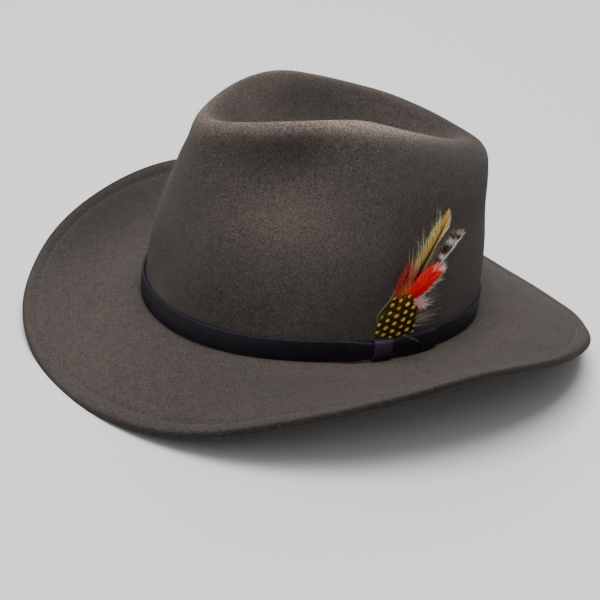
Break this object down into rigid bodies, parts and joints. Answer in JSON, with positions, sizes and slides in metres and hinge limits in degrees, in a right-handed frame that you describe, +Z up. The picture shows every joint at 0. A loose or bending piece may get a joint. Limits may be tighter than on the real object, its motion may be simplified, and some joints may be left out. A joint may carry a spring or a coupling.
{
  "type": "bush hat",
  "caption": "Wool felt bush hat with a dipped wide brim, a creased and pinched crown, a thin leather strap with a keeper and a bunch of feathers.",
  "frame": {"origin": "centre of the hat's outline on the surface that it stands on", "axes": "+Z up, -Y towards the front of the hat, +X towards the wearer's left"},
  "size_m": [0.3098, 0.3382, 0.1511],
  "materials": {
    "felt": "matt wool felt",
    "band_leather": "satin",
    "keeper_leather": "satin",
    "feathers": "soft"
  },
  "bodies": {
    "root": {"felt_body": "felt", "hat_band": "band_leather", "band_keeper": "keeper_leather", "feather_plume": "feathers"}
  },
  "joints": []
}
